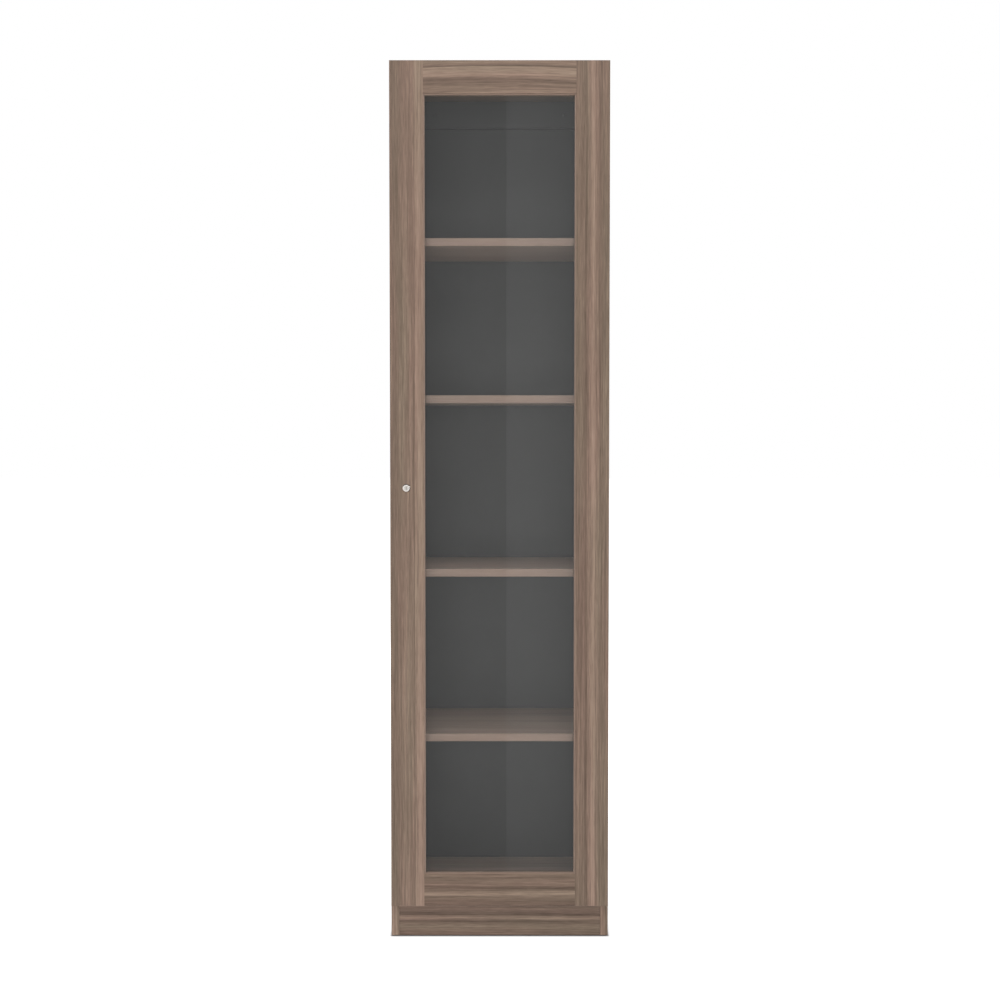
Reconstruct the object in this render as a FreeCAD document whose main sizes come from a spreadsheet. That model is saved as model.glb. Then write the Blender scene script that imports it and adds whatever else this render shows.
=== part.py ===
import FreeCAD, Part
import math
import os
import re

import Sketcher
from FreeCAD import Vector

# A tall, narrow bookcase in flat-pack board with one framed glass door, in millimetres.
# X runs to the viewer's right, -Y is the front, +Z is up. The origin is the middle of the footprint.
# Carcass pieces are measured from the carcass's left front corner on the floor, door pieces from the
# door's left front bottom corner, and hinge pieces from a plan corner beside the door's right edge.

SIZES = {
    # whole object
    "width": 500.0,
    "full_depth": 350.0,
    "full_height": 2000.0,
    "board": 18.0,
    "glide_height": 2.0,
    "plinth_top": 70.0,
    "plinth_recess": 1.0,
    # back panel and its groove
    "back_thick": 3.0,
    "groove_inset": 312.5,
    "groove_wide": 3.2,
    "groove_deep": 6.0,
    "groove_play": 0.5,
    # hanging rail
    "hang_high": 66.0,
    "wall_hole": 6.0,
    "wall_spacing": 320.0,
    # shelves and their pins
    "shelf_setback": 15.0,
    "shelf_end_gap": 1.0,
    "shelf_back_gap": 2.5,
    "shelf_one": 1608.0,
    "shelf_two": 1249.5,
    "shelf_three": 850.5,
    "shelf_four": 468.5,
    "pin_front": 52.0,
    "pin_rear": 276.0,
    "pin_pitch": 32.0,
    "pin_bore": 5.0,
    "pin_bore_deep": 10.0,
    "pin_shank": 4.8,
    "pin_head": 5.8,
    "pin_head_long": 8.0,
    # cam fittings and dowels of the carcass
    "cam_front": 60.0,
    "cam_rear": 260.0,
    "cam_inset": 34.0,
    "cam_bore": 15.0,
    "cam_bore_deep": 12.7,
    "cam_disc": 14.8,
    "cam_disc_thick": 12.5,
    "cam_slot": 7.6,
    "bolt_bore": 7.6,
    "bolt_thread": 6.0,
    "bolt_thread_long": 11.0,
    "bolt_shank": 5.0,
    "bolt_head": 7.2,
    "bolt_head_long": 4.0,
    "dowel": 8.0,
    "dowel_long": 30.0,
    "dowel_in_side": 10.0,
    "dowel_play": 0.5,
    "dowel_front": 28.0,
    "dowel_middle": 160.0,
    "plinth_dowel_low": 18.0,
    "plinth_dowel_high": 52.0,
    "hang_dowel_low": 16.0,
    "hang_dowel_high": 50.0,
    # floor glides
    "glide": 16.0,
    "glide_stem": 5.0,
    "glide_stem_long": 12.0,
    "glide_inset": 30.0,
    # door
    "door_thick": 20.0,
    "door_gap": 3.5,
    "door_side": 1.5,
    "door_bottom": 78.5,
    "stile_wide": 76.0,
    "rail_wide": 74.0,
    "lip_wide": 3.0,
    "lip_thick": 4.0,
    "lip_setback": 2.5,
    "glass_thick": 4.0,
    "glass_play": 1.0,
    "strip_deep": 8.0,
    "door_dowel_long": 50.0,
    "door_dowel_near": 20.0,
    "door_dowel_far": 54.0,
    "bumper": 9.0,
    "bumper_high": 3.2,
    "bumper_inset": 7.5,
    "bumper_end": 40.0,
    # hinges: one pin each, inside the cup
    "hinge_first": 180.0,
    "hinge_pitch": 566.6,
    "hinge_corner": 50.0,
    "pivot_inset": 8.0,
    "pivot_depth": 9.0,
    "pivot_pin": 2.4,
    "pivot_ear_bore": 2.42,
    "pivot_arm_bore": 2.5,
    "cup_inset": 21.0,
    "cup_bore": 35.0,
    "cup_depth": 12.5,
    "cup_wall": 0.8,
    "cup_flange": 1.2,
    "cup_wing_wide": 14.0,
    "cup_wing_high": 56.0,
    "cup_screw_offset": 9.5,
    "cup_screw_spread": 22.5,
    "cup_screw": 3.0,
    "cup_screw_deep": 10.0,
    "cup_screw_head": 6.4,
    "ear_front": 2.2,
    "ear_back": 1.7,
    "ear_inner": 6.4,
    "ear_outer": 9.0,
    "arm_wide": 12.0,
    "arm_thick": 3.0,
    "arm_long": 57.5,
    "hook_thick": 2.4,
    "eye": 4.4,
    "plate_line": 37.0,
    "plate_high": 4.5,
    "plate_thin": 1.5,
    "plate_wing": 48.0,
    "plate_wing_deep": 18.0,
    "plate_block": 14.0,
    "plate_block_start": 10.0,
    "plate_screw_spread": 16.0,
    "plate_screw": 4.2,
    "plate_screw_thread": 5.0,
    "plate_screw_deep": 11.0,
    "plate_screw_head": 7.0,
    "arm_screw_at": 48.0,
    "arm_screw": 3.0,
    "arm_screw_head": 6.0,
    "head_thick": 1.4,
    # cam lock
    "lock_inset": 36.5,
    "lock_height": 1038.0,
    "lock_proud": 2.0,
    "lock_flange": 18.0,
    "lock_bevel": 1.5,
    "lock_barrel": 16.0,
    "lock_bore": 16.2,
    "lock_behind": 6.0,
    "lock_plug": 12.0,
    "lock_plug_bore": 12.12,
    "plug_recess": 0.3,
    "plug_proud": 0.3,
    "key_wide": 1.8,
    "key_high": 7.0,
    "key_deep": 12.0,
    "nut": 20.0,
    "nut_thick": 3.2,
    "lock_cam_wide": 12.0,
    "lock_cam_reach": 17.5,
    "lock_cam_thick": 2.0,
    "lock_screw": 3.5,
    "lock_screw_head": 7.0,
    "lock_screw_deep": 8.0,
    "strike_thick": 1.5,
    "strike_front": 0.5,
    "strike_leg": 8.5,
    "strike_deep": 28.0,
    "strike_high": 30.0,
    "strike_screw_at": 19.0,
    "strike_screw_spread": 9.0,
    "strike_screw": 3.2,
    "strike_screw_deep": 10.0,
}

doc = FreeCAD.newDocument("bookcase")
sheet = doc.addObject("Spreadsheet::Sheet", "Sheet")
for row, (alias, value) in enumerate(SIZES.items(), start=1):
    sheet.set(f"A{row}", alias)
    sheet.set(f"B{row}", str(value))
    sheet.setAlias(f"B{row}", alias)
doc.recompute()

# Lengths that follow from the driving ones, as expressions over the sheet
FRONT = "(door_thick + door_gap + lock_proud - full_depth / 2)"  # Y of the carcass's front edges
DOOR_FRONT = "(lock_proud - full_depth / 2)"  # Y of the door's front face
DEPTH = "(full_depth - door_thick - door_gap - lock_proud)"
INSIDE = "(width - 2 * board)"
SIDE_HIGH = "(full_height - glide_height)"
DOOR_WIDE = "(width - 2 * door_side)"
DOOR_HIGH = "(full_height - door_bottom)"
OPENING = f"({DOOR_WIDE} - 2 * stile_wide)"
GLASS_Y = "(lip_setback + lip_thick)"
TOP_Z = "(full_height - board)"
SHELVES = ("shelf_one", "shelf_two", "shelf_three", "shelf_four")
HINGES = [f"(hinge_first + {n} * hinge_pitch)" for n in range(4)]
PIVOT_X = "(hinge_corner - pivot_inset)"
PIVOT_Y = "(door_thick - pivot_depth)"
CUP_X = "(hinge_corner - cup_inset)"
PLATE_X = "(width / 2 - board - plate_high)"
CAM_LINES = ("cam_front", "cam_rear")
CAM_BOARDS = ("(plinth_top + board / 2)", f"({TOP_Z} + board / 2)")


def bound(text):
    """The expression with each size read from the sheet."""
    return re.sub(r"[a-z_]{2,}", lambda found: "Sheet." + found.group(0), str(text))


def add_body(label, x, y, z):
    body = doc.addObject("PartDesign::Body", label)
    body.Label = label
    body.AllowCompound = True
    for axis, text in (("x", x), ("y", y), ("z", z)):
        body.setExpression(f"Placement.Base.{axis}", bound(text))
    return body


def add_sketch(body, plane, start):
    """A sketch on one of the body's origin planes, moved by start along the row axis across it."""
    sketch = body.newObject("Sketcher::SketchObject", body.Label + "_sketch")
    support = next(f for f in body.Origin.OriginFeatures if f.Role == plane + "_Plane")
    sketch.AttachmentSupport = [(support, "")]
    sketch.MapMode = "FlatFace"
    sign = "-" if plane == "XZ" else ""
    sketch.setExpression("AttachmentOffset.Base.z", bound(f"{sign}({start})"))
    return sketch


def fix_point(sketch, geometry, end, x, y):
    """Holds a point at its distances from the sketch's origin, which are zero or more."""
    for kind, axis, text in (("DistanceX", -2, x), ("DistanceY", -1, y)):
        if text == "0":
            sketch.addConstraint(Sketcher.Constraint("PointOnObject", geometry, end, axis))
        else:
            made = sketch.addConstraint(Sketcher.Constraint(kind, -1, 1, geometry, end, 1.0))
            sketch.setExpression(f"Constraints[{made}]", bound(text))


def draw_outline(sketch, points):
    """A closed outline of straight lines through the points."""
    count = len(points)
    first = len(sketch.Geometry)
    turn = 2 * math.pi / count
    ring = [Vector(10 + math.cos(n * turn), 10 + math.sin(n * turn), 0) for n in range(count)]
    for n in range(count):
        sketch.addGeometry(Part.LineSegment(ring[n], ring[(n + 1) % count]), False)
    for n, (x, y) in enumerate(points):
        before = first + (n - 1) % count
        sketch.addConstraint(Sketcher.Constraint("Coincident", before, 2, first + n, 1))
        fix_point(sketch, first + n, 1, x, y)


def draw_box(sketch, x0, y0, x1, y1):
    draw_outline(sketch, [(x0, y0), (x1, y0), (x1, y1), (x0, y1)])


def draw_circles(sketch, spots, diameter):
    for x, y in spots:
        made = sketch.addGeometry(Part.Circle(Vector(10, 10, 0), Vector(0, 0, 1), 1.0), False)
        fix_point(sketch, made, 3, x, y)
        size = sketch.addConstraint(Sketcher.Constraint("Diameter", made, 2.0))
        sketch.setExpression(f"Constraints[{size}]", bound(diameter))


def pad(body, plane, start, length, draw):
    """Adds material from start to start + length along the row axis across the plane."""
    sketch = add_sketch(body, plane, start)
    draw(sketch)
    feature = body.newObject("PartDesign::Pad", body.Label + "_pad")
    feature.Profile = sketch
    feature.Reversed = plane == "XZ"
    feature.setExpression("Length", bound(length))


def pocket(body, plane, start, length, draw, backward=False):
    """Removes material from start, forward or backward along the row axis across the plane."""
    sketch = add_sketch(body, plane, start)
    draw(sketch)
    feature = body.newObject("PartDesign::Pocket", body.Label + "_pocket")
    feature.Profile = sketch
    feature.Reversed = (plane == "XZ") == backward
    feature.setExpression("Length", bound(length))


def box(x0, y0, x1, y1):
    return lambda sketch: draw_box(sketch, x0, y0, x1, y1)


def circles(spots, diameter):
    return lambda sketch: draw_circles(sketch, spots, diameter)


def each_end(z_texts, y_texts):
    return [(y, z) for z in z_texts for y in y_texts]


def chamfer_ring(body, size, wanted):
    """Bevels the circular edges of the body's present tip that wanted picks."""
    doc.recompute()
    tip = body.Tip
    names = [
        f"Edge{n}" for n, edge in enumerate(tip.Shape.Edges, start=1)
        if isinstance(edge.Curve, Part.Circle) and wanted(edge.Curve)
    ]
    feature = body.newObject("PartDesign::Chamfer", body.Label + "_chamfer")
    feature.Base = (tip, names)
    feature.setExpression("Size", bound(size))


# Carcass ---------------------------------------------------------------------------------------

# Dowel positions on the side panels, as depth behind the front edge and height above the floor
BOARD_DOWELS = each_end(CAM_BOARDS, ("dowel_front", "dowel_middle"))
PLINTH_DOWELS = each_end(
    ("plinth_dowel_low", "plinth_dowel_high"),
    ("(plinth_recess + board / 2)", f"({DEPTH} - board / 2)"),
)
HANG_DOWELS = each_end(
    (f"({TOP_Z} - hang_dowel_low)", f"({TOP_Z} - hang_dowel_high)"), ("(groove_inset - board / 2)",)
)
DOWELS = BOARD_DOWELS + PLINTH_DOWELS + HANG_DOWELS
CAM_BOLTS = each_end(CAM_BOARDS, CAM_LINES)
PIN_HEIGHTS = [f"({shelf} - board - pin_head / 2)" for shelf in SHELVES]


def above_glide(spots):
    return [(y, f"({z} - glide_height)") for y, z in spots]


def side_panel(label, x, inner, backward, extra_holes):
    """A full-height side: its grooves and bores are cut from its inner face."""
    body = add_body(label, x, FRONT, "glide_height")
    pad(body, "YZ", "0", "board", box("0", "0", DEPTH, SIDE_HIGH))
    groove = box("groove_inset", "0", "(groove_inset + groove_wide)", SIDE_HIGH)
    pocket(body, "YZ", inner, "groove_deep", groove, backward)
    pins = [
        (y, f"({z} + {step} * pin_pitch)")
        for z in PIN_HEIGHTS for y in ("pin_front", "pin_rear") for step in (-1, 0, 1)
    ]
    bores = (
        (pins, "pin_bore", "pin_bore_deep"),
        (CAM_BOLTS, "bolt_thread", "bolt_thread_long"),
        (DOWELS, "dowel", "(dowel_in_side + dowel_play)"),
        extra_holes,
    )
    for spots, diameter, depth in bores:
        pocket(body, "YZ", inner, depth, circles(above_glide(spots), diameter), backward)
    stems = [("(board / 2)", "glide_inset"), ("(board / 2)", f"({DEPTH} - glide_inset)")]
    pocket(body, "XY", "0", "glide_stem_long", circles(stems, "glide_stem"))


strike_spots = [
    ("strike_screw_at", f"(lock_height {sign} strike_screw_spread)") for sign in "-+"
]
plate_spots = [
    ("plate_line", f"({z} {sign} plate_screw_spread)") for z in HINGES for sign in "-+"
]
side_panel("side_panel_left", "-width / 2", "board", True,
           (strike_spots, "strike_screw", "strike_screw_deep"))
side_panel("side_panel_right", "(width / 2 - board)", "0", False,
           (plate_spots, "plate_screw_thread", "plate_screw_deep"))


def end_bores(body, spots, diameter, depth, span=INSIDE):
    """The same bores in both ends of a piece that runs along X."""
    pocket(body, "YZ", "0", depth, circles(spots, diameter))
    pocket(body, "YZ", span, depth, circles(spots, diameter), backward=True)


def tie_panel(label, z, cams_above):
    """The top or bottom panel, drawn to the sides by cam fittings on its hidden face."""
    body = add_body(label, "(board - width / 2)", FRONT, z)
    pad(body, "XY", "0", "board", box("0", "0", INSIDE, DEPTH))
    groove = box("0", "groove_inset", INSIDE, "(groove_inset + groove_wide)")
    pocket(body, "XY", "0" if cams_above else "board", "groove_deep", groove, not cams_above)
    cams = [(x, y) for x in ("cam_inset", f"({INSIDE} - cam_inset)") for y in CAM_LINES]
    pocket(body, "XY", "board" if cams_above else "0", "cam_bore_deep",
           circles(cams, "cam_bore"), cams_above)
    end_bores(body, [(y, "(board / 2)") for y in CAM_LINES], "bolt_bore", "cam_inset")
    end_bores(body, [(y, "(board / 2)") for y in ("dowel_front", "dowel_middle")], "dowel",
              "(dowel_long - dowel_in_side + dowel_play)")


tie_panel("top_panel", TOP_Z, True)
tie_panel("bottom_panel", "plinth_top", False)


def upright_board(label, y, z, high, dowels):
    """A board on edge between the sides, held by dowels in its ends."""
    body = add_body(label, "(board - width / 2)", y, z)
    pad(body, "XZ", "0", "board", box("0", "0", INSIDE, high))
    end_bores(body, [("(board / 2)", height) for height in dowels], "dowel",
              "(dowel_long - dowel_in_side + dowel_play)")
    return body


PLINTH_HOLES = ("(plinth_dowel_low - glide_height)", "(plinth_dowel_high - glide_height)")
upright_board("plinth_front", f"({FRONT} + plinth_recess)", "glide_height",
              "(plinth_top - glide_height)", PLINTH_HOLES)
upright_board("plinth_rear", "(full_depth / 2 - board)", "glide_height",
              "(plinth_top - glide_height)", PLINTH_HOLES)
hang = upright_board("hanging_rail", f"({FRONT} + groove_inset - board)", f"({TOP_Z} - hang_high)",
                     "hang_high", ("(hang_high - hang_dowel_low)", "(hang_high - hang_dowel_high)"))
hang_holes = [(f"({INSIDE} / 2 {sign} wall_spacing / 2)", "(hang_high / 2)") for sign in "-+"]
pocket(hang, "XZ", "0", "board", circles(hang_holes, "wall_hole"))

BACK_LOW = "(plinth_top + board - groove_deep + groove_play)"
BACK_WIDE = f"({INSIDE} + 2 * groove_deep - 2 * groove_play)"
BACK_HIGH = f"({TOP_Z} + groove_deep - groove_play - {BACK_LOW})"
back = add_body("back_panel", f"(-({BACK_WIDE}) / 2)", f"({FRONT} + groove_inset)", BACK_LOW)
pad(back, "XZ", "0", "back_thick", box("0", "0", BACK_WIDE, BACK_HIGH))
back_holes = [
    (f"({BACK_WIDE} / 2 {sign} wall_spacing / 2)", f"({TOP_Z} - hang_high / 2 - {BACK_LOW})")
    for sign in "-+"
]
pocket(back, "XZ", "0", "back_thick", circles(back_holes, "wall_hole"))

for number, shelf in enumerate(SHELVES, start=1):
    body = add_body(f"shelf_{number}", "(board + shelf_end_gap - width / 2)",
                    f"({FRONT} + shelf_setback)", f"({shelf} - board)")
    pad(body, "XY", "0", "board", box("0", "0", f"({INSIDE} - 2 * shelf_end_gap)",
                                      "(groove_inset - shelf_setback - shelf_back_gap)"))


def both_sides(body, spots, diameter, start, length):
    """Round stages on both sides: start is measured inward from each outer side face."""
    pad(body, "YZ", start, length, circles(spots, diameter))
    pad(body, "YZ", f"(width - ({start}) - ({length}))", length, circles(spots, diameter))


shelf_pins = add_body("shelf_pins", "-width / 2", FRONT, "0")
pin_spots = each_end(PIN_HEIGHTS, ("pin_front", "pin_rear"))
both_sides(shelf_pins, pin_spots, "pin_shank", "(board - pin_bore_deep)", "pin_bore_deep")
both_sides(shelf_pins, pin_spots, "pin_head", "board", "pin_head_long")

cam_bolts = add_body("cam_bolts", "-width / 2", FRONT, "0")
both_sides(cam_bolts, CAM_BOLTS, "bolt_thread", "(board - bolt_thread_long)", "bolt_thread_long")
both_sides(cam_bolts, CAM_BOLTS, "bolt_shank", "board", "(cam_inset - bolt_head_long)")
both_sides(cam_bolts, CAM_BOLTS, "bolt_head", "(board + cam_inset - bolt_head_long)",
           "bolt_head_long")

carcass_dowels = add_body("carcass_dowels", "-width / 2", FRONT, "0")
both_sides(carcass_dowels, DOWELS, "dowel", "(board - dowel_in_side)", "dowel_long")

cam_discs = add_body("cam_discs", "-width / 2", FRONT, "0")
disc_spots = [
    (x, y) for x in ("(board + cam_inset)", "(width - board - cam_inset)") for y in CAM_LINES
]
for face, cams_above in (("full_height", True), ("plinth_top", False)):
    low = f"({face} - cam_disc_thick)" if cams_above else face
    pad(cam_discs, "XY", low, "cam_disc_thick", circles(disc_spots, "cam_disc"))
for face, cams_above in (("full_height", True), ("plinth_top", False)):
    for x0, x1 in (("board", "(board + cam_inset)"),
                   ("(width - board - cam_inset)", "(width - board)")):
        for y in CAM_LINES:
            slot = box(x0, f"({y} - cam_slot / 2)", x1, f"({y} + cam_slot / 2)")
            middle = "(board + cam_slot) / 2"
            start = f"(full_height - {middle})" if cams_above else f"(plinth_top + {middle})"
            pocket(cam_discs, "XY", start, "cam_slot", slot, not cams_above)

glides = add_body("floor_glides", "-width / 2", FRONT, "0")
glide_spots = [
    (x, y) for x in ("(board / 2)", "(width - board / 2)")
    for y in ("glide_inset", f"({DEPTH} - glide_inset)")
]
pad(glides, "XY", "0", "glide_height", circles(glide_spots, "glide"))
pad(glides, "XY", "glide_height", "glide_stem_long", circles(glide_spots, "glide_stem"))

# Door ------------------------------------------------------------------------------------------

DOOR_X = "(door_side - width / 2)"
FRAME_DOWELS = [("(door_thick / 2)", z) for z in (
    "door_dowel_near", "door_dowel_far",
    f"({DOOR_HIGH} - door_dowel_far)", f"({DOOR_HIGH} - door_dowel_near)",
)]


def stile(label, x, main_x, lip_x, bore_from, backward):
    """An upright of the door's frame, with the lip that the glass rests against."""
    body = add_body(label, x, DOOR_FRONT, "door_bottom")
    pad(body, "XZ", "0", "door_thick", box(main_x, "0", f"({main_x} + stile_wide)", DOOR_HIGH))
    pad(body, "XZ", "lip_setback", "lip_thick",
        box(lip_x, "rail_wide", f"({lip_x} + lip_wide)", f"({DOOR_HIGH} - rail_wide)"))
    pocket(body, "YZ", bore_from, "(door_dowel_long / 2 + dowel_play)",
           circles(FRAME_DOWELS, "dowel"), backward)
    return body


stile_left = stile("door_stile_left", DOOR_X, "0", "stile_wide", "stile_wide", True)
stile_right = stile("door_stile_right", "(width / 2 - door_side - stile_wide - lip_wide)",
                    "lip_wide", "0", "lip_wide", False)

lock_spot = [("lock_inset", "(lock_height - door_bottom)")]
pocket(stile_left, "XZ", "0", "door_thick", circles(lock_spot, "lock_bore"))
cup_spots = [("(stile_wide + lip_wide - cup_inset)", f"({z} - door_bottom)") for z in HINGES]
pocket(stile_right, "XZ", "door_thick", "cup_depth", circles(cup_spots, "cup_bore"), backward=True)
cup_screw_spots = [
    ("(stile_wide + lip_wide - cup_inset - cup_screw_offset)",
     f"({z} - door_bottom {sign} cup_screw_spread)")
    for z in HINGES for sign in "-+"
]
pocket(stile_right, "XZ", "door_thick", "cup_screw_deep", circles(cup_screw_spots, "cup_screw"),
       backward=True)


def door_rail(label, z, body_low, lip_low, dowels):
    """A crosspiece between the stiles; its lip stops at the stiles' lips."""
    body = add_body(label, f"({DOOR_X} + stile_wide)", DOOR_FRONT, z)
    pad(body, "XZ", "0", "door_thick", box("0", body_low, OPENING, f"({body_low} + rail_wide)"))
    pad(body, "XZ", "lip_setback", "lip_thick",
        box("lip_wide", lip_low, f"({OPENING} - lip_wide)", f"({lip_low} + lip_wide)"))
    end_bores(body, [("(door_thick / 2)", height) for height in dowels], "dowel",
              "(door_dowel_long / 2 + dowel_play)", OPENING)


door_rail("door_rail_bottom", "door_bottom", "0", "rail_wide",
          ("door_dowel_near", "door_dowel_far"))
door_rail("door_rail_top", "(full_height - rail_wide - lip_wide)", "lip_wide", "0",
          ("(rail_wide + lip_wide - door_dowel_far)", "(rail_wide + lip_wide - door_dowel_near)"))

door_dowels = add_body("door_dowels", DOOR_X, DOOR_FRONT, "door_bottom")
for joint in ("stile_wide", f"({DOOR_WIDE} - stile_wide)"):
    pad(door_dowels, "YZ", f"({joint} - door_dowel_long / 2)", "door_dowel_long",
        circles(FRAME_DOWELS, "dowel"))

GLASS_HIGH = f"({DOOR_HIGH} - 2 * rail_wide - 2 * glass_play)"
glass = add_body("glass_pane", f"({DOOR_X} + stile_wide + glass_play)",
                 f"({DOOR_FRONT} + {GLASS_Y})", "(door_bottom + rail_wide + glass_play)")
pad(glass, "XZ", "0", "glass_thick",
    box("0", "0", f"({OPENING} - 2 * glass_play)", GLASS_HIGH))

STRIP_Y = f"({DOOR_FRONT} + {GLASS_Y} + glass_thick)"
PANE_HIGH = f"({DOOR_HIGH} - 2 * rail_wide)"
STRIPS = {
    "glazing_strip_left": ("0", "0", "lip_wide", PANE_HIGH),
    "glazing_strip_right": (f"({OPENING} - lip_wide)", "0", OPENING, PANE_HIGH),
    "glazing_strip_bottom": ("lip_wide", "0", f"({OPENING} - lip_wide)", "lip_wide"),
    "glazing_strip_top": ("lip_wide", f"({PANE_HIGH} - lip_wide)", f"({OPENING} - lip_wide)",
                          PANE_HIGH),
}
for label, outline in STRIPS.items():
    body = add_body(label, f"({DOOR_X} + stile_wide)", STRIP_Y, "(door_bottom + rail_wide)")
    pad(body, "XZ", "0", "strip_deep", box(*outline))

bumpers = add_body("door_bumpers", DOOR_X, f"({DOOR_FRONT} + door_thick)", "door_bottom")
bumper_spots = [("bumper_inset", "bumper_end"), ("bumper_inset", f"({DOOR_HIGH} - bumper_end)")]
pad(bumpers, "XZ", "0", "bumper_high", circles(bumper_spots, "bumper"))

# Hinges ----------------------------------------------------------------------------------------

HINGE_X = "(width / 2 - door_side - hinge_corner)"
CUP_LOW = "(door_thick - cup_depth)"
CUP_HALF = "(cup_wing_high / 2)"


def hinge_cup(label, z):
    """A cup in the door's stile, with a screw flange and two ears that hold the pin."""
    body = add_body(label, HINGE_X, DOOR_FRONT, f"({z} - {CUP_HALF})")
    spot = [(CUP_X, CUP_HALF)]
    pad(body, "XZ", CUP_LOW, "(cup_depth + cup_flange)", circles(spot, "cup_bore"))
    wing = f"({CUP_X} - cup_screw_offset - cup_wing_wide / 2)"
    pad(body, "XZ", "door_thick", "cup_flange",
        box(wing, "0", f"({wing} + cup_wing_wide)", "cup_wing_high"))
    pocket(body, "XZ", f"({CUP_LOW} + cup_wall)", "(cup_depth + cup_flange)",
           circles(spot, "(cup_bore - 2 * cup_wall)"))
    ear = box(f"({PIVOT_X} - ear_front)", f"({CUP_LOW} + cup_wall / 2)",
              f"({PIVOT_X} + ear_back)", f"({PIVOT_Y} + ear_front)")
    for low in ("ear_inner", "-ear_outer"):
        pad(body, "XY", f"({CUP_HALF} + {low})", "(ear_outer - ear_inner)", ear)
    pocket(body, "XY", f"({CUP_HALF} - ear_outer)", "(2 * ear_outer)",
           circles([(PIVOT_X, PIVOT_Y)], "pivot_ear_bore"))
    holes = [
        (f"({CUP_X} - cup_screw_offset)", f"({CUP_HALF} {sign} cup_screw_spread)") for sign in "-+"
    ]
    pocket(body, "XZ", "door_thick", "cup_flange", circles(holes, "cup_screw"))


def hinge_arm(label, z):
    """A bent arm from the mounting plate into the cup, ending in an eye round the pin."""
    body = add_body(label, HINGE_X, DOOR_FRONT, f"({z} - arm_wide / 2)")
    face = "(hinge_corner + door_side - board - plate_high)"
    back_end = "(door_thick + door_gap + arm_long)"
    hook = f"({PIVOT_Y} - hook_thick / 2)"
    outline = [
        (f"({face} - arm_thick)", hook), (PIVOT_X, hook), (PIVOT_X, f"({hook} + hook_thick)"),
        (face, f"({hook} + hook_thick)"), (face, back_end), (f"({face} - arm_thick)", back_end),
    ]
    pad(body, "XY", "0", "arm_wide", lambda sketch: draw_outline(sketch, outline))
    eye = [(PIVOT_X, PIVOT_Y)]
    pad(body, "XY", "0", "arm_wide", circles(eye, "eye"))
    pocket(body, "XY", "0", "arm_wide", circles(eye, "pivot_arm_bore"))
    screw = [("(door_thick + door_gap + arm_screw_at)", "(arm_wide / 2)")]
    pocket(body, "YZ", f"({face} - arm_thick)", "arm_thick", circles(screw, "arm_screw"))


def hinge_plate(label, z):
    """A cross-shaped plate on the side panel, with the raised block that the arm lies on."""
    body = add_body(label, PLATE_X, FRONT, f"({z} - plate_wing / 2)")
    middle = "(plate_wing / 2)"
    pad(body, "YZ", "(plate_high - plate_thin)", "plate_thin",
        box("(plate_line - plate_wing_deep / 2)", "0", "(plate_line + plate_wing_deep / 2)",
            "plate_wing"))
    pad(body, "YZ", "0", "plate_high",
        box("plate_block_start", f"({middle} - plate_block / 2)", "arm_long",
            f"({middle} + plate_block / 2)"))
    holes = [("plate_line", f"({middle} {sign} plate_screw_spread)") for sign in "-+"]
    pocket(body, "YZ", "(plate_high - plate_thin)", "plate_thin", circles(holes, "plate_screw"))
    pocket(body, "YZ", "0", "plate_high", circles([("arm_screw_at", middle)], "arm_screw"))


for number, z in enumerate(HINGES, start=1):
    hinge_cup(f"hinge_cup_{number}", z)
    hinge_arm(f"hinge_arm_{number}", z)
    hinge_plate(f"hinge_plate_{number}", z)

pins = add_body("hinge_pins", HINGE_X, DOOR_FRONT, "0")
for z in HINGES:
    pad(pins, "XY", f"({z} - ear_outer)", "(2 * ear_outer)",
        circles([(PIVOT_X, PIVOT_Y)], "pivot_pin"))

cup_screws = add_body("hinge_cup_screws", HINGE_X, DOOR_FRONT, "0")
spots = [
    (f"({CUP_X} - cup_screw_offset)", f"({z} {sign} cup_screw_spread)")
    for z in HINGES for sign in "-+"
]
pad(cup_screws, "XZ", "(door_thick - cup_screw_deep)", "(cup_screw_deep + cup_flange)",
    circles(spots, "cup_screw"))
pad(cup_screws, "XZ", "(door_thick + cup_flange)", "head_thick", circles(spots, "cup_screw_head"))

plate_screws = add_body("hinge_plate_screws", PLATE_X, FRONT, "0")
pad(plate_screws, "YZ", "plate_high", "plate_screw_deep", circles(plate_spots, "plate_screw_thread"))
pad(plate_screws, "YZ", "(plate_high - plate_thin)", "plate_thin",
    circles(plate_spots, "plate_screw"))
pad(plate_screws, "YZ", "(plate_high - plate_thin - head_thick)", "head_thick",
    circles(plate_spots, "plate_screw_head"))

arm_screws = add_body("hinge_arm_screws", f"({PLATE_X} - arm_thick - head_thick)", FRONT, "0")
spots = [("arm_screw_at", z) for z in HINGES]
pad(arm_screws, "YZ", "0", "head_thick", circles(spots, "arm_screw_head"))
pad(arm_screws, "YZ", "head_thick", "(arm_thick + plate_high)", circles(spots, "arm_screw"))

# Cam lock --------------------------------------------------------------------------------------
# Its pieces are measured from a corner left of and below the lock's axis, clear of all of them, at
# the lock's front face.

AXIS_IN = "lock_flange"
LOCK_X = f"({DOOR_X} + lock_inset - {AXIS_IN})"
LOCK_Z = f"(lock_height - {AXIS_IN})"
LOCK_Y = "(-full_depth / 2)"
LOCK_LONG = "(lock_proud + door_thick + lock_behind)"
AXIS = [(AXIS_IN, AXIS_IN)]

housing = add_body("lock_housing", LOCK_X, LOCK_Y, LOCK_Z)
pad(housing, "XZ", "0", "lock_proud", circles(AXIS, "lock_flange"))
chamfer_ring(housing, "lock_bevel", lambda circle: abs(circle.Center.y) < 0.01)
pad(housing, "XZ", "lock_proud", "(door_thick + lock_behind)", circles(AXIS, "lock_barrel"))
pocket(housing, "XZ", "0", LOCK_LONG, circles(AXIS, "lock_plug_bore"))

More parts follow.
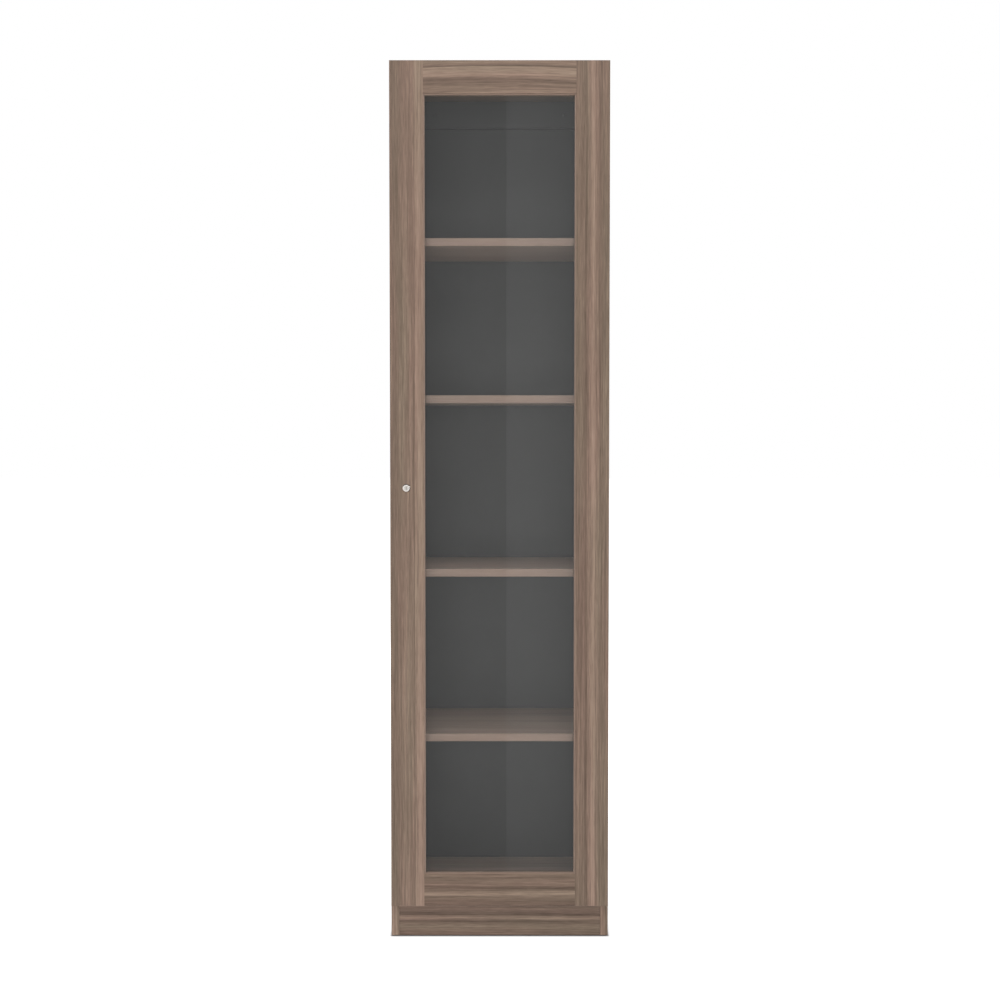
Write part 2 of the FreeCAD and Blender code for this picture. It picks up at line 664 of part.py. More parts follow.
lock_nut = add_body("lock_nut", LOCK_X, f"({LOCK_Y} + lock_proud + door_thick)", LOCK_Z)
pad(lock_nut, "XZ", "0", "nut_thick", circles(AXIS, "nut"))
pocket(lock_nut, "XZ", "0", "nut_thick", circles(AXIS, "lock_barrel"))

plug = add_body("lock_plug", LOCK_X, LOCK_Y, LOCK_Z)
PLUG_END = f"({LOCK_LONG} + plug_proud)"
pad(plug, "XZ", "plug_recess", f"({PLUG_END} - plug_recess)", circles(AXIS, "lock_plug"))
pocket(plug, "XZ", "plug_recess", "key_deep",
       box(f"({AXIS_IN} - key_wide / 2)", f"({AXIS_IN} - key_high / 2)",
           f"({AXIS_IN} + key_wide / 2)", f"({AXIS_IN} + key_high / 2)"))
pocket(plug, "XZ", PLUG_END, "lock_screw_deep", circles(AXIS, "lock_screw"), backward=True)

lock_cam = add_body("lock_cam", LOCK_X, f"({LOCK_Y} + {PLUG_END})", LOCK_Z)
pad(lock_cam, "XZ", "0", "lock_cam_thick",
    box(f"({AXIS_IN} - lock_cam_wide / 2)", AXIS_IN, f"({AXIS_IN} + lock_cam_wide / 2)",
        f"({AXIS_IN} + lock_cam_reach)"))
pad(lock_cam, "XZ", "0", "lock_cam_thick", circles(AXIS, "lock_cam_wide"))
pocket(lock_cam, "XZ", "0", "lock_cam_thick", circles(AXIS, "lock_screw"))

cam_screw = add_body("lock_cam_screw", LOCK_X, f"({LOCK_Y} + {PLUG_END})", LOCK_Z)
pad(cam_screw, "XZ", "(-lock_screw_deep)", "(lock_screw_deep + lock_cam_thick)",
    circles(AXIS, "lock_screw"))
pad(cam_screw, "XZ", "lock_cam_thick", "head_thick", circles(AXIS, "lock_screw_head"))

strike = add_body("lock_strike", "(board - width / 2)", FRONT, "(lock_height - strike_high / 2)")
STRIKE_END = "(strike_front + strike_deep)"
pad(strike, "YZ", "0", "strike_thick", box("strike_front", "0", STRIKE_END, "strike_high"))
pad(strike, "XZ", "strike_front", "strike_thick", box("0", "0", "strike_leg", "strike_high"))
spots = [("strike_screw_at", f"(strike_high / 2 {sign} strike_screw_spread)") for sign in "-+"]
pocket(strike, "YZ", "0", "strike_thick", circles(spots, "strike_screw"))

strike_screws = add_body("strike_screws", "-width / 2", FRONT, "0")
pad(strike_screws, "YZ", "(board - strike_screw_deep)", "(strike_screw_deep + strike_thick)",
    circles(strike_spots, "strike_screw"))
pad(strike_screws, "YZ", "(board + strike_thick)", "head_thick",
    circles(strike_spots, "cup_screw_head"))

# Test and write --------------------------------------------------------------------------------

doc.recompute()
for item in doc.Objects:
    if "Invalid" in item.State or "Error" in item.State:
        raise RuntimeError(f"{item.Label} failed: {item.State}")
    if item.TypeId == "PartDesign::Pocket":
        if item.Shape.Volume > item.BaseFeature.Shape.Volume - 0.01:
            raise RuntimeError(f"{item.Label} cuts nothing")

bodies = [item for item in doc.Objects if item.TypeId == "PartDesign::Body"]
for body in bodies:
    if body.Shape.isNull() or not body.Shape.isValid():
        raise RuntimeError(f"{body.Label} has no valid shape")

os.makedirs("parts", exist_ok=True)
for body in bodies:
    body.Shape.exportStep(f"parts/{body.Label}.step")
    print(body.Label, len(body.Shape.Solids), round(body.Shape.Volume))
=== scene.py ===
import math

import bpy
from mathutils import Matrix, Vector


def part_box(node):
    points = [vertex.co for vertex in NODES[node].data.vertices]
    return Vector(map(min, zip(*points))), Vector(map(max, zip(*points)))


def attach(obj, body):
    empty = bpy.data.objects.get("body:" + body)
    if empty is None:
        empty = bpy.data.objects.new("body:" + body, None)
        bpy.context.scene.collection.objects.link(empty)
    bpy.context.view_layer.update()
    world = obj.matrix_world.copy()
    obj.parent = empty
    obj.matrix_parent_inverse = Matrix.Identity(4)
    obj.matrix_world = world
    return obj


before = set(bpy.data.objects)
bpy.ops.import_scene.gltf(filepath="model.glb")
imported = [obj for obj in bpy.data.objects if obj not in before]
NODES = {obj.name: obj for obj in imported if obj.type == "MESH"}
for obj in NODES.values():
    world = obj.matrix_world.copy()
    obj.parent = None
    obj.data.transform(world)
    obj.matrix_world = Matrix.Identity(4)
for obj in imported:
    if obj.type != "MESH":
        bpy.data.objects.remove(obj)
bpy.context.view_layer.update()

# A tall glass-door bookcase in grey-brown walnut board. The CAD nodes carry the shapes; this script
# gives them their surfaces, softened edges and small details, and sets the camera, floor and light.


# Node helpers ------------------------------------------------------------------------------------

class Tree:
    """A shader node tree built from short calls; a value may be a number, a colour or a socket."""

    def __init__(self, owner):
        owner.use_nodes = True
        self.tree = owner.node_tree
        self.tree.nodes.clear()

    def node(self, kind, values=None, **settings):
        made = self.tree.nodes.new("ShaderNode" + kind)
        for key, value in settings.items():
            setattr(made, key, value)
        for key, value in (values or {}).items():
            if isinstance(value, bpy.types.NodeSocket):
                self.tree.links.new(value, made.inputs[key])
            else:
                made.inputs[key].default_value = value
        return made

    def math(self, operation, first, second=0.0, third=0.0):
        values = {0: first, 1: second, 2: third}
        return self.node("Math", values, operation=operation).outputs[0]

    def ramp(self, value, stops):
        """A colour ramp through (place, colour) stops; a single number means that grey."""
        made = self.node("ValToRGB", {0: value})
        points = made.color_ramp.elements
        while len(points) < len(stops):
            points.new(0.5)
        for point, (place, colour) in zip(points, stops):
            point.position = place
            shade = (colour,) * 3 if isinstance(colour, (int, float)) else colour
            point.color = (*shade, 1.0)
        return made.outputs[0]

    def mix(self, amount, first, second, blend="MIX"):
        made = self.node("Mix", {0: amount, 6: first, 7: second}, data_type="RGBA", blend_type=blend)
        return made.outputs[2]

    def noise(self, vector, detail=2.0, roughness=0.5):
        values = {"Vector": vector, "Scale": 1.0, "Detail": detail, "Roughness": roughness}
        return self.node("TexNoise", values).outputs[0]

    def output(self, shader, kind="OutputMaterial"):
        self.tree.links.new(shader, self.node(kind).inputs["Surface"])


def rgb(red, green, blue):
    return (red, green, blue, 1.0)


def new_material(name):
    made = bpy.data.materials.new(name)
    return made, Tree(made)


def paint(material, *names):
    for name in names:
        NODES[name].data.materials.clear()
        NODES[name].data.materials.append(material)


# Wood --------------------------------------------------------------------------------------------

# Ramps of (tone, linear colour): the foil of the door and carcass; a lighter copy of that foil for the
# shelves and the bottom panel, painted light standing in for light falling on them; the edge bands;
# and bare chipboard.
WOOD_TONES = [
    (0.0, (0.058, 0.037, 0.025)), (0.5, (0.131, 0.089, 0.063)), (1.0, (0.232, 0.166, 0.122))]
# Painted light: the same walnut foil made lighter for the shelves and the bottom panel.
PAINTED_LIGHT_TONES = [
    (0.0, (0.19, 0.136, 0.109)), (0.5, (0.30, 0.223, 0.183)), (1.0, (0.41, 0.310, 0.259))]
EDGE_TONES = [(0.0, (0.165, 0.113, 0.086)), (1.0, (0.235, 0.167, 0.131))]
SHELF_EDGE_TONES = [(0.0, (0.124, 0.080, 0.060)), (1.0, (0.181, 0.119, 0.090))]
CHIP_TONES = [(0.1, (0.20, 0.14, 0.085)), (0.35, (0.40, 0.29, 0.18)), (0.7, (0.55, 0.43, 0.28))]

# How many of each mark there are in a metre across the grain, and in a metre along it.
FIGURE_MARKS = (28.0, 0.9)
HUE_MARKS = (38.0, 1.6)
STREAK_MARKS = (230.0, 3.4)
FIBRE_MARKS = (620.0, 26.0)
PORE_MARKS = (1100.0, 45.0)
WOOD_ROUNDING = 0.0008
WOOD_SPECULAR = 0.3


def walnut(name, grain, across, third, start, width, bands=None, seed=0.0, wobble=0.004, arch=0.0,
           banded=None, raw_back=None, polish=0.38, tones=WOOD_TONES, band_tones=EDGE_TONES):
    """Printed walnut foil whose growth lines run along grain.

    bands are (place, tone) stops across the board, from start over width in metres. wobble is how
    far the lines wander along their length, and arch how far they bow for each width's distance
    from the middle. banded is (axis, place, side): past that place the foil is lighter edge band.
    raw_back is the Y behind which the board is bare chipboard, and polish its least roughness.
    tones and band_tones are the colour ramps of the board and of its edge band.
    """
    made, tree = new_material(name)
    place = tree.node("TexCoord").outputs["Object"]
    split = tree.node("SeparateXYZ", {0: place}).outputs
    u, v, w = (split["XYZ".index(axis)] for axis in (across, third, grain))
    shifted = tree.math("ADD", w, seed)

    def stretched(line, fine, along, detail, roughness=0.5):
        """Noise with cells 1/fine metres wide and 1/along metres long."""
        vector = tree.node("CombineXYZ", {
            0: tree.math("MULTIPLY", line, fine), 1: tree.math("MULTIPLY", v, fine),
            2: tree.math("MULTIPLY", shifted, along)}).outputs[0]
        return tree.noise(vector, detail, roughness)

    def centred(value, amount):
        return tree.math("MULTIPLY", tree.math("SUBTRACT", value, 0.5), amount)

    off_centre = tree.math("DIVIDE", w, width)
    bow = tree.math("MULTIPLY", tree.math("MULTIPLY", off_centre, off_centre), arch)
    drift = tree.math("ADD", centred(stretched(u, 9.0, 2.3, 1.0), wobble * 4), bow)
    drift = tree.math("ADD", centred(stretched(u, 40.0, 9.0, 1.0), wobble), drift)
    line = tree.math("ADD", tree.math("ADD", u, tree.math("MULTIPLY", v, 0.9)), drift)

    if bands:
        position = tree.math("DIVIDE", tree.math("SUBTRACT", tree.math("ADD", u, drift), start), width)
        figure = tree.ramp(position, bands)
    else:
        figure = tree.ramp(stretched(line, *FIGURE_MARKS, 3.0), [(0.3, 0.3), (0.5, 0.52), (0.7, 0.7)])
    streak = stretched(line, *STREAK_MARKS, 3.0, 0.7)
    fibre = stretched(line, *FIBRE_MARKS, 3.0, 0.6)
    pore = tree.ramp(stretched(line, *PORE_MARKS, 1.0), [(0.60, 0.0), (0.70, 1.0)])
    tone = tree.math("ADD", figure, centred(streak, 1.0))
    tone = tree.math("ADD", tone, centred(fibre, 0.75))
    tone = tree.math("MULTIPLY_ADD", pore, -0.12, tone)
    colour = tree.ramp(tone, tones)
    hue = tree.ramp(stretched(line, *HUE_MARKS, 2.0),
                    [(0.35, (0.97, 1.01, 0.99)), (0.65, (1.04, 0.98, 1.0))])
    colour = tree.mix(1.0, colour, hue, "MULTIPLY")
    if banded:
        axis, edge, side = banded
        past = tree.math("GREATER_THAN" if side > 0 else "LESS_THAN", split["XYZ".index(axis)], edge)
        band = tree.ramp(fibre, band_tones)
        colour = tree.mix(past, colour, tree.mix(0.25, band, colour))
    if raw_back is not None:
        far = tree.math("GREATER_THAN", split[1], raw_back)
        grit = tree.node("TexVoronoi", {"Vector": place, "Scale": 420.0}).outputs["Distance"]
        colour = tree.mix(far, colour, tree.ramp(grit, CHIP_TONES))
    roughness = tree.math("MULTIPLY_ADD", fibre, 0.14, polish)
    height = tree.math("MULTIPLY_ADD", pore, -0.6, fibre)
    rounded = tree.node("Bevel", {"Radius": WOOD_ROUNDING}, samples=4).outputs[0]
    bump = tree.node("Bump", {"Height": height, "Strength": 0.2, "Distance": 0.0002,
                              "Normal": rounded}).outputs[0]
    shader = tree.node("BsdfPrincipled", {
        "Base Color": colour, "Roughness": roughness, "Normal": bump,
        "Specular IOR Level": WOOD_SPECULAR})
    tree.output(shader.outputs[0])
    return made


def board_span(name, axis):
    """Where the board starts along an axis, and how wide it is."""
    low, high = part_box(name)
    place = "XYZ".index(axis)
    return low[place], high[place] - low[place]


LIP = 0.003
SKIN = 0.0006
SHELF_NAMES = [f"shelf_{n}" for n in range(1, 5)]
side_low, side_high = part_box("side_panel_left")

# The tones across each board of the door and of the plinth, as they lie on this bookcase.
start, width = board_span("door_stile_left", "X")
paint(walnut("walnut_stile_left", "Z", "X", "Y", start, width, [
    (0.0, 0.42), (0.05, 0.38), (0.16, 0.36), (0.28, 0.44), (0.42, 0.52), (0.56, 0.50),
    (0.66, 0.48), (0.695, 0.36), (0.73, 0.64), (0.85, 0.68), (0.95, 0.66)], 3.1, 0.0015,
    banded=("X", start + width - LIP, 1)), "door_stile_left")

start, width = board_span("door_stile_right", "X")
paint(walnut("walnut_stile_right", "Z", "X", "Y", start, width, [
    (0.04, 0.42), (0.28, 0.40), (0.31, 0.28), (0.35, 0.30), (0.38, 0.46), (0.47, 0.58),
    (0.51, 0.70), (0.57, 0.72), (0.61, 0.48), (0.68, 0.54), (0.72, 0.36), (0.87, 0.42),
    (0.95, 0.48)], 7.4, 0.0015, banded=("X", start + LIP, -1)), "door_stile_right")

start, width = board_span("door_rail_top", "Z")
paint(walnut("walnut_rail_top", "X", "Z", "Y", start, width, [
    (0.05, 0.56), (0.21, 0.52), (0.24, 0.36), (0.28, 0.46), (0.34, 0.44), (0.38, 0.24),
    (0.47, 0.32), (0.52, 0.52), (0.60, 0.66), (0.72, 0.76), (0.81, 0.62), (0.84, 0.28),
    (0.88, 0.40), (0.93, 0.54)], 1.7, 0.0015, arch=0.0008,
    banded=("Z", start + LIP, -1)), "door_rail_top")

start, width = board_span("door_rail_bottom", "Z")
paint(walnut("walnut_rail_bottom", "X", "Z", "Y", start, width, [
    (0.0, 0.14), (0.08, 0.28), (0.16, 0.24), (0.22, 0.42), (0.27, 0.34), (0.33, 0.68),
    (0.40, 0.58), (0.47, 0.38), (0.51, 0.14), (0.55, 0.18), (0.60, 0.44), (0.78, 0.42),
    (0.85, 0.24), (0.90, 0.46)], 12.9, 0.003,
    banded=("Z", start + width - LIP, 1)), "door_rail_bottom")

start, width = board_span("plinth_front", "Z")
paint(walnut("walnut_plinth", "X", "Z", "Y", start, width, [
    (0.0, 0.24), (0.10, 0.26), (0.18, 0.38), (0.38, 0.42), (0.45, 0.18), (0.49, 0.24),
    (0.55, 0.56), (0.64, 0.54), (0.69, 0.14), (0.80, 0.26), (0.88, 0.42), (0.96, 0.40)],
    21.3, 0.002), "plinth_front")

# The carcass boards, bare chipboard against the wall, and the shelves with edge band in front. The
# bottom panel and the shelves wear the lighter copy of the foil, painted light.
for n, (name, grain, across, third) in enumerate([
        ("side_panel_left", "Z", "Y", "X"), ("side_panel_right", "Z", "Y", "X"),
        ("top_panel", "X", "Y", "Z"), ("bottom_panel", "X", "Y", "Z")]):
    start, width = board_span(name, across)
    paint(walnut("walnut_" + name, grain, across, third, start, width, None, 30.0 + 5.3 * n, 0.006,
                 raw_back=side_high.y - SKIN, polish=0.26,
                 tones=PAINTED_LIGHT_TONES if name == "bottom_panel" else WOOD_TONES), name)
start, width = board_span("plinth_rear", "Z")
paint(walnut("walnut_plinth_rear", "X", "Z", "Y", start, width, None, 53.0), "plinth_rear")
for n, name in enumerate(SHELF_NAMES):
    start, width = board_span(name, "Y")
    paint(walnut("walnut_" + name, "X", "Y", "Z", start, width, None, 60.0 + 3.9 * n, 0.008,
                 banded=("Y", start + SKIN, -1), polish=0.26, tones=PAINTED_LIGHT_TONES,
                 band_tones=SHELF_EDGE_TONES), name)


# Other materials ---------------------------------------------------------------------------------

def grey_board():
    """Dark grey lacquer inside, bare brown hardboard on the face against the wall."""
    made, tree = new_material("grey_back")
    place = tree.node("TexCoord").outputs["Object"]
    cloud = tree.node("TexNoise", {"Vector": place, "Scale": 6.0, "Detail": 4.0}).outputs[0]
    peel = tree.node("TexNoise", {"Vector": place, "Scale": 900.0, "Detail": 2.0}).outputs[0]
    lacquer = tree.ramp(cloud, [(0.3, (0.047, 0.046, 0.047)), (0.7, (0.053, 0.052, 0.053))])
    fibre = tree.node("TexNoise", {"Vector": place, "Scale": 260.0, "Detail": 6.0,
                                   "Roughness": 0.7}).outputs[0]
    bare = tree.ramp(fibre, [(0.3, (0.16, 0.095, 0.052)), (0.5, (0.25, 0.155, 0.085)),
                             (0.75, (0.34, 0.22, 0.125))])
    behind = tree.node("SeparateXYZ", {0: place}).outputs[1]
    outer = tree.math("GREATER_THAN", behind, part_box("back_panel")[1].y - 0.0005)
    colour = tree.mix(outer, lacquer, bare)
    roughness = tree.math("MULTIPLY_ADD", peel, 0.1, 0.52)
    bump = tree.node("Bump", {"Height": peel, "Strength": 0.05, "Distance": 0.0001}).outputs[0]
    shader = tree.node("BsdfPrincipled", {
        "Base Color": colour, "Roughness": roughness, "Normal": bump, "Specular IOR Level": 0.3})
    tree.output(shader.outputs[0])
    return made


GLASS_MIRROR = 0.04
GLASS_HAZE = 0.0092
GLASS_DUST = 0.002
GLASS_RIM = 0.0005


def clear_glass():
    """Flat float glass with a faint haze: it mirrors 4% face on, and its edges are greener."""
    made, tree = new_material("clear_glass")
    facing = tree.node("LayerWeight", {"Blend": 0.5}).outputs["Facing"]
    mirror = tree.math("MULTIPLY_ADD", tree.math("POWER", facing, 5.0), 1.0 - GLASS_MIRROR,
                       GLASS_MIRROR)
    low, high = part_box("glass_pane")
    split = tree.node("SeparateXYZ", {0: tree.node("TexCoord").outputs["Object"]}).outputs
    inside = [
        tree.math("LESS_THAN", tree.math("ABSOLUTE", tree.math("SUBTRACT", split[axis],
                  (low[axis] + high[axis]) / 2)), (high[axis] - low[axis]) / 2 - GLASS_RIM)
        for axis in (0, 2)
    ]
    pane = tree.math("MULTIPLY", *inside)
    through = tree.mix(pane, rgb(0.45, 0.72, 0.62), rgb(0.985, 0.992, 0.988))
    clear = tree.node("BsdfTransparent", {"Color": through}).outputs[0]
    dust = tree.node("TexNoise", {"Vector": tree.node("TexCoord").outputs["Object"],
                                  "Scale": 5.0, "Detail": 3.0}).outputs[0]
    veil = tree.node("BsdfDiffuse", {"Color": rgb(1, 1, 1)}).outputs[0]
    haze = tree.math("MULTIPLY_ADD", dust, GLASS_DUST, GLASS_HAZE)
    hazy = tree.node("MixShader", {0: haze, 1: clear, 2: veil}).outputs[0]
    gloss = tree.node("BsdfGlossy", {"Color": rgb(1, 1, 1), "Roughness": 0.0}).outputs[0]
    tree.output(tree.node("MixShader", {0: mirror, 1: hazy, 2: gloss}).outputs[0])
    return made


def metal(name, colour, roughness, cloud=0.08, relief=0.05):
    """Plated metal with a cloudy change of roughness and a faint relief."""
    made, tree = new_material(name)
    place = tree.node("TexCoord").outputs["Object"]
    marks = tree.node("TexNoise", {"Vector": place, "Scale": 380.0, "Detail": 4.0}).outputs[0]
    shade = tree.ramp(marks, [(0.3, tuple(0.92 * c for c in colour)), (0.7, colour)])
    rough = tree.math("MULTIPLY_ADD", marks, cloud, roughness)
    bump = tree.node("Bump", {"Height": marks, "Strength": relief, "Distance": 0.0001})
    shader = tree.node("BsdfPrincipled", {
        "Base Color": shade, "Metallic": 1.0, "Roughness": rough, "Normal": bump.outputs[0]})
    tree.output(shader.outputs[0])
    return made


def moulded(name, dark, light, roughness, scale=700.0):
    """Plastic or rubber with a fine moulded texture."""
    made, tree = new_material(name)
    place = tree.node("TexCoord").outputs["Object"]
    grain = tree.node("TexNoise", {"Vector": place, "Scale": scale, "Detail": 3.0}).outputs[0]
    colour = tree.ramp(grain, [(0.3, dark), (0.7, light)])
    rough = tree.math("MULTIPLY_ADD", grain, 0.12, roughness)
    bump = tree.node("Bump", {"Height": grain, "Strength": 0.15, "Distance": 0.0002}).outputs[0]
    shader = tree.node("BsdfPrincipled", {"Base Color": colour, "Roughness": rough, "Normal": bump})
    tree.output(shader.outputs[0])
    return made


def beech():
    made, tree = new_material("beech")
    place = tree.node("Mapping", {"Vector": tree.node("TexCoord").outputs["Object"],
                                  "Scale": (40.0, 900.0, 900.0)}).outputs[0]
    grain = tree.node("TexNoise", {"Vector": place, "Scale": 1.0, "Detail": 3.0}).outputs[0]
    colour = tree.ramp(grain, [(0.3, (0.50, 0.34, 0.20)), (0.7, (0.68, 0.50, 0.32))])
    shader = tree.node("BsdfPrincipled", {"Base Color": colour, "Roughness": 0.7})
    tree.output(shader.outputs[0])
    return made


paint(grey_board(), "hanging_rail", "back_panel")
paint(clear_glass(), "glass_pane")
HINGE_NODES = [f"hinge_{kind}_{n}" for kind in ("cup", "arm", "plate") for n in range(1, 5)]
paint(metal("nickel_steel", (0.72, 0.70, 0.67), 0.26, 0.04, 0.01),
      "shelf_pins", "lock_strike", *HINGE_NODES)
paint(metal("zinc_steel", (0.68, 0.70, 0.73), 0.34, 0.06, 0.02), "cam_bolts", "hinge_pins",
      "hinge_cup_screws", "hinge_plate_screws", "hinge_arm_screws", "strike_screws", "lock_nut",
      "lock_cam", "lock_cam_screw")
paint(metal("zinc_cast", (0.55, 0.56, 0.58), 0.46, 0.1, 0.05), "cam_discs")
paint(metal("bright_nickel", (0.97, 0.93, 0.88), 0.02, 0.02, 0.0), "lock_housing")
paint(metal("dull_nickel", (0.78, 0.74, 0.69), 0.05, 0.04, 0.01), "lock_plug")
STRIP_NODES = [f"glazing_strip_{side}" for side in ("left", "right", "bottom", "top")]
paint(moulded("strip_plastic", (0.15, 0.11, 0.09), (0.19, 0.145, 0.12), 0.4), *STRIP_NODES)
paint(moulded("glide_plastic", (0.012, 0.012, 0.012), (0.03, 0.03, 0.03), 0.5), "floor_glides")
paint(moulded("bumper_rubber", (0.55, 0.55, 0.52), (0.65, 0.65, 0.62), 0.35), "door_bumpers")
paint(beech(), "carcass_dowels", "door_dowels")


# Rail caps ---------------------------------------------------------------------------------------

def turned(name, outline, centre, turns=32):
    """A round piece: its outline of (radius, depth) turned about a line along Y."""
    points, faces = [], []
    for radius, depth in outline:
        for step in range(turns):
            angle = 2 * math.pi * step / turns
            points.append((centre.x + radius * math.cos(angle), centre.y + depth,
                           centre.z + radius * math.sin(angle)))
    for ring in range(len(outline) - 1):
        for step in range(turns):
            after = (step + 1) % turns
            a, b = ring * turns, (ring + 1) * turns
            faces.append((a + step, b + step, b + after, a + after))
    faces.append(tuple(reversed(range(turns))))
    faces.append(tuple(range(len(points) - turns, len(points))))
    mesh = bpy.data.meshes.new(name)
    mesh.from_pydata(points, [], faces)
    mesh.update()
    for face in mesh.polygons:
        face.use_smooth = True
    made = bpy.data.objects.new(name, mesh)
    bpy.context.scene.collection.objects.link(made)
    return made


# A dark grey cap closes each wall-fixing hole of the hanging rail: a domed head and a short stem. Its
# dark colour, matched to the back panel, is painted shade where the hole would show only shade.
rail_low, rail_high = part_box("hanging_rail")
# Painted shade: the caps are as dark as the back panel, so the holes read as dark.
cap_painted_shade = moulded("cap_plastic_painted_shade", (0.040, 0.040, 0.041), (0.050, 0.050, 0.051), 0.6)
CAP_OUTLINE = [(0.0026, 0.006), (0.0026, 0.0), (0.0050, 0.0), (0.0050, -0.0004), (0.0044, -0.0009),
               (0.0026, -0.0012), (0.0008, -0.0013)]
FIXING_X = 0.16
for side, x in (("left", -FIXING_X), ("right", FIXING_X)):
    cap = turned("rail_cap_" + side, CAP_OUTLINE,
                 Vector((x, rail_low.y, (rail_low.z + rail_high.z) / 2)))
    cap.data.materials.append(cap_painted_shade)
    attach(cap, "carcass")


# Softened edges ----------------------------------------------------------------------------------

def soften(width, *names):
    """A small bevel. The weld joins the faces that the import leaves apart at sharp edges."""
    for name in names:
        weld = NODES[name].modifiers.new("joined_faces", "WELD")
        weld.merge_threshold = 0.00001
        bevel = NODES[name].modifiers.new("soft_edge", "BEVEL")
        bevel.width = width
        bevel.segments = 2
        bevel.limit_method = "ANGLE"
        bevel.angle_limit = math.radians(40)
        bevel.harden_normals = True


# The drilled boards get their rounding from the Bevel node in walnut() instead.
soften(0.0008, *SHELF_NAMES)
soften(0.0004, *HINGE_NODES, "lock_strike", "lock_cam", "lock_nut")


# Camera, floor and light -------------------------------------------------------------------------

CAMERA_AT = Vector((0.0008, -3.3235, 1.17))
CAMERA_TILT = math.radians(2.06)
CAMERA_LENS = 50.0
CAMERA_SHIFT = -0.02

camera_data = bpy.data.cameras.new("camera")
camera_data.lens = CAMERA_LENS
camera_data.shift_y = CAMERA_SHIFT
camera = bpy.data.objects.new("camera", camera_data)
camera.location = CAMERA_AT
camera.rotation_euler = (math.pi / 2 - CAMERA_TILT, 0.0, 0.0)
bpy.context.scene.collection.objects.link(camera)
bpy.context.scene.camera = camera


# How brightly the floor glows at each distance in metres from the bookcase's footprint. Nothing glows
# under the footprint and less glows near it: a painted shadow, dark in the gap under the bookcase.
FLOOR_GLOW_PAINTED_SHADOW = [(0.0, 0.0), (0.005, 0.84), (0.25, 0.90), (1.0, 1.0)]
FLOOR_HALF = 30.0


def add_floor():
    """A pale floor, white a step away from the bookcase; a painted shadow keeps it dark in the gap
    under it and dimmer near it.
    """
    half = FLOOR_HALF
    mesh = bpy.data.meshes.new("floor")
    mesh.from_pydata([(-half, -half, 0), (half, -half, 0), (half, half, 0), (-half, half, 0)], [],
                     [(0, 1, 2, 3)])
    floor = bpy.data.objects.new("floor", mesh)
    bpy.context.scene.collection.objects.link(floor)
    made, tree = new_material("pale_floor")
    split = tree.node("SeparateXYZ", {0: tree.node("TexCoord").outputs["Object"]}).outputs
    reach = [
        tree.math("MAXIMUM", tree.math("SUBTRACT", tree.math("ABSOLUTE", split[axis]), edge), 0.0)
        for axis, edge in ((0, -side_low.x), (1, -side_low.y))
    ]
    away = tree.math("SQRT", tree.math("ADD", tree.math("MULTIPLY", reach[0], reach[0]),
                                       tree.math("MULTIPLY", reach[1], reach[1])))
    # Painted shadow: the glow fades to nothing near and under the footprint.
    glow_painted_shadow = tree.ramp(away, FLOOR_GLOW_PAINTED_SHADOW)
    matt = tree.node("BsdfDiffuse", {"Color": rgb(0.3, 0.3, 0.3)}).outputs[0]
    glow = tree.node("Emission", {"Color": glow_painted_shadow, "Strength": 1.0}).outputs[0]
    tree.output(tree.node("AddShader", {0: matt, 1: glow}).outputs[0])
    mesh.materials.append(made)
    floor.visible_glossy = False
    floor.visible_diffuse = False
    floor.visible_shadow = False


def add_light(name, place, aim, size, power, mirrored):
    """A soft panel light."""
    data = bpy.data.lights.new(name, "AREA")
    data.shape = "RECTANGLE"
    data.size, data.size_y = size
    data.energy = power
    light = bpy.data.objects.new(name, data)
    light.location = place
    light.rotation_euler = (Vector(aim) - Vector(place)).to_track_quat("-Z", "Y").to_euler()
    light.visible_glossy = mirrored
    light.visible_camera = False
    bpy.context.scene.collection.objects.link(light)


# What shiny pieces see of the room: its levels of white, and where its parts lie, as x over |y|.
ROOM_GREY = 0.17
WALL_MORE = 0.18
WALL_FROM = 0.0046
PANEL_MORE = 0.88
PANEL_FROM, PANEL_TO = -0.9, -0.0585
EVEN_LIGHT = 0.55


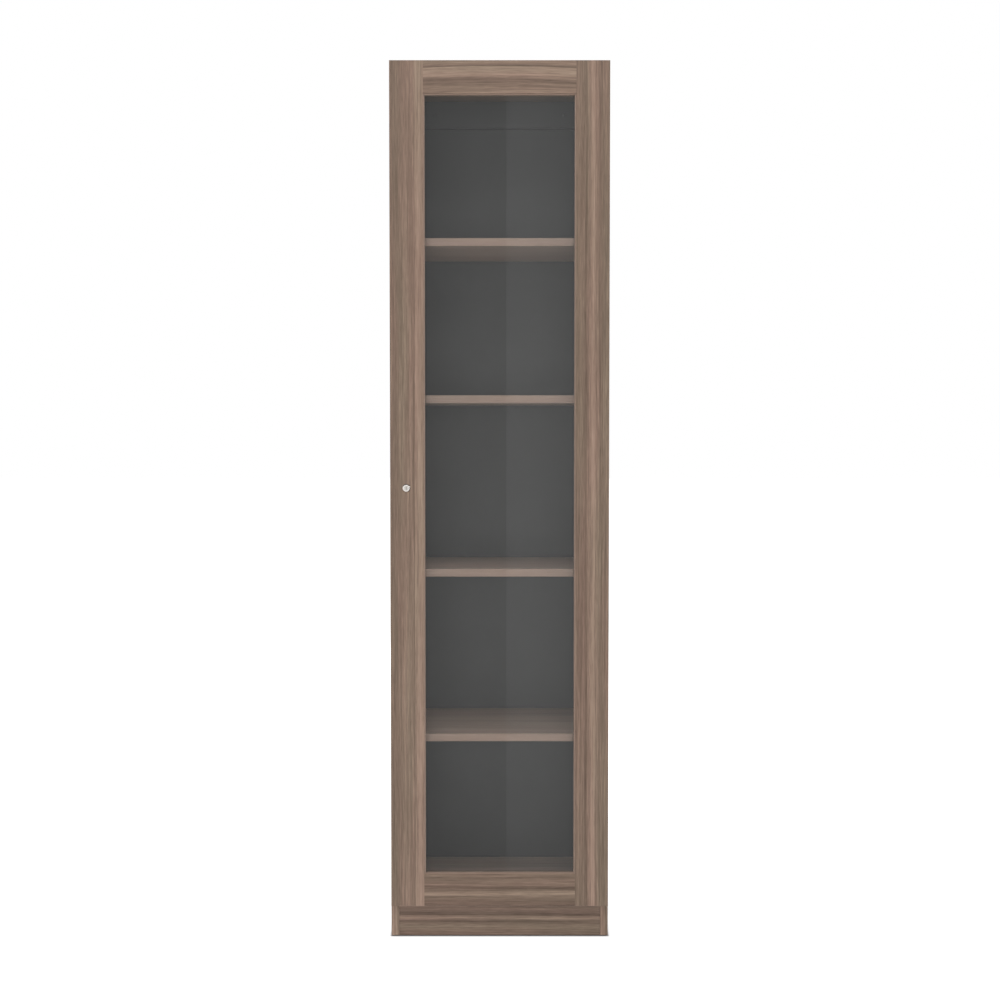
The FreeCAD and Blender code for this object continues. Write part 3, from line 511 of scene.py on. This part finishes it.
def add_world():
    """White to the eye, even light on matt surfaces, and a darker room for anything shiny.

    In front of the bookcase the room is grey, with a lighter wall right of the camera, which the
    glass mirrors, and white further left, which the lock mirrors. It darkens toward the floor and
    well away from there.
    """
    world = bpy.data.worlds.new("studio")
    bpy.context.scene.world = world
    tree = Tree(world)
    split = tree.node("SeparateXYZ", {0: tree.node("TexCoord").outputs["Generated"]}).outputs
    ahead = tree.math("MAXIMUM", tree.math("ABSOLUTE", split[1]), 0.01)
    slant = tree.math("DIVIDE", split[0], ahead)
    rise = tree.math("DIVIDE", split[2], ahead)
    wall = tree.math("GREATER_THAN", slant, WALL_FROM)
    panel = tree.math("MULTIPLY", tree.math("LESS_THAN", slant, PANEL_TO),
                      tree.math("GREATER_THAN", slant, PANEL_FROM))
    room = tree.math("MULTIPLY_ADD", wall, WALL_MORE, ROOM_GREY)
    room = tree.math("MULTIPLY_ADD", panel, PANEL_MORE, room)
    low = tree.math("MULTIPLY_ADD", tree.math("MINIMUM", rise, 0.0), 0.8, 1.0)
    room = tree.math("MULTIPLY", room, tree.math("MAXIMUM", low, 0.0))
    aside = tree.math("MAXIMUM", tree.math("ABSOLUTE", slant), tree.math("ABSOLUTE", rise))
    room = tree.math("MULTIPLY", room, tree.ramp(tree.math("MULTIPLY", aside, 0.5),
                                                 [(0.25, 1.0), (0.6, 0.15)]))
    path = tree.node("LightPath").outputs
    shiny = tree.node("Background", {"Color": rgb(1, 1, 1), "Strength": room}).outputs[0]
    even = tree.node("Background", {"Color": rgb(1, 1, 1), "Strength": EVEN_LIGHT}).outputs[0]
    white = tree.node("Background", {"Color": rgb(1, 1, 1), "Strength": 1.0}).outputs[0]
    lit = tree.node("MixShader", {0: path["Is Glossy Ray"], 1: even, 2: shiny}).outputs[0]
    tree.output(tree.node("MixShader", {0: path["Is Camera Ray"], 1: lit, 2: white}).outputs[0],
                "OutputWorld")


# Name, place, aim, size and watts of each light, and whether shiny pieces mirror it.
LIGHTS = [
    ("key", (0.0, -5.2, 0.9), (0.0, 0.0, 0.9), (3.4, 2.4), 112.0, False),
    ("high", (0.0, -3.4, 3.5), (0.0, 0.0, 0.8), (2.4, 1.6), 30.0, True),
    ("top", (0.0, -1.6, 4.4), (0.0, 0.0, 1.6), (2.6, 2.0), 50.0, True),
    ("floor_bounce", (0.0, -1.8, -0.6), (0.0, 0.0, 1.1), (3.0, 1.6), 28.0, False),
    ("fill_left", (-3.6, -1.4, 1.6), (0.0, 0.0, 1.0), (1.8, 2.4), 60.0, True),
    ("fill_right", (3.6, -1.4, 1.6), (0.0, 0.0, 1.0), (1.8, 2.4), 60.0, True),
    ("fill_back", (-1.2, 3.8, 2.4), (0.0, 0.0, 1.0), (2.4, 2.0), 150.0, False),
]

add_floor()
add_world()
for light in LIGHTS:
    add_light(*light)
bpy.context.scene.view_settings.view_transform = "Standard"
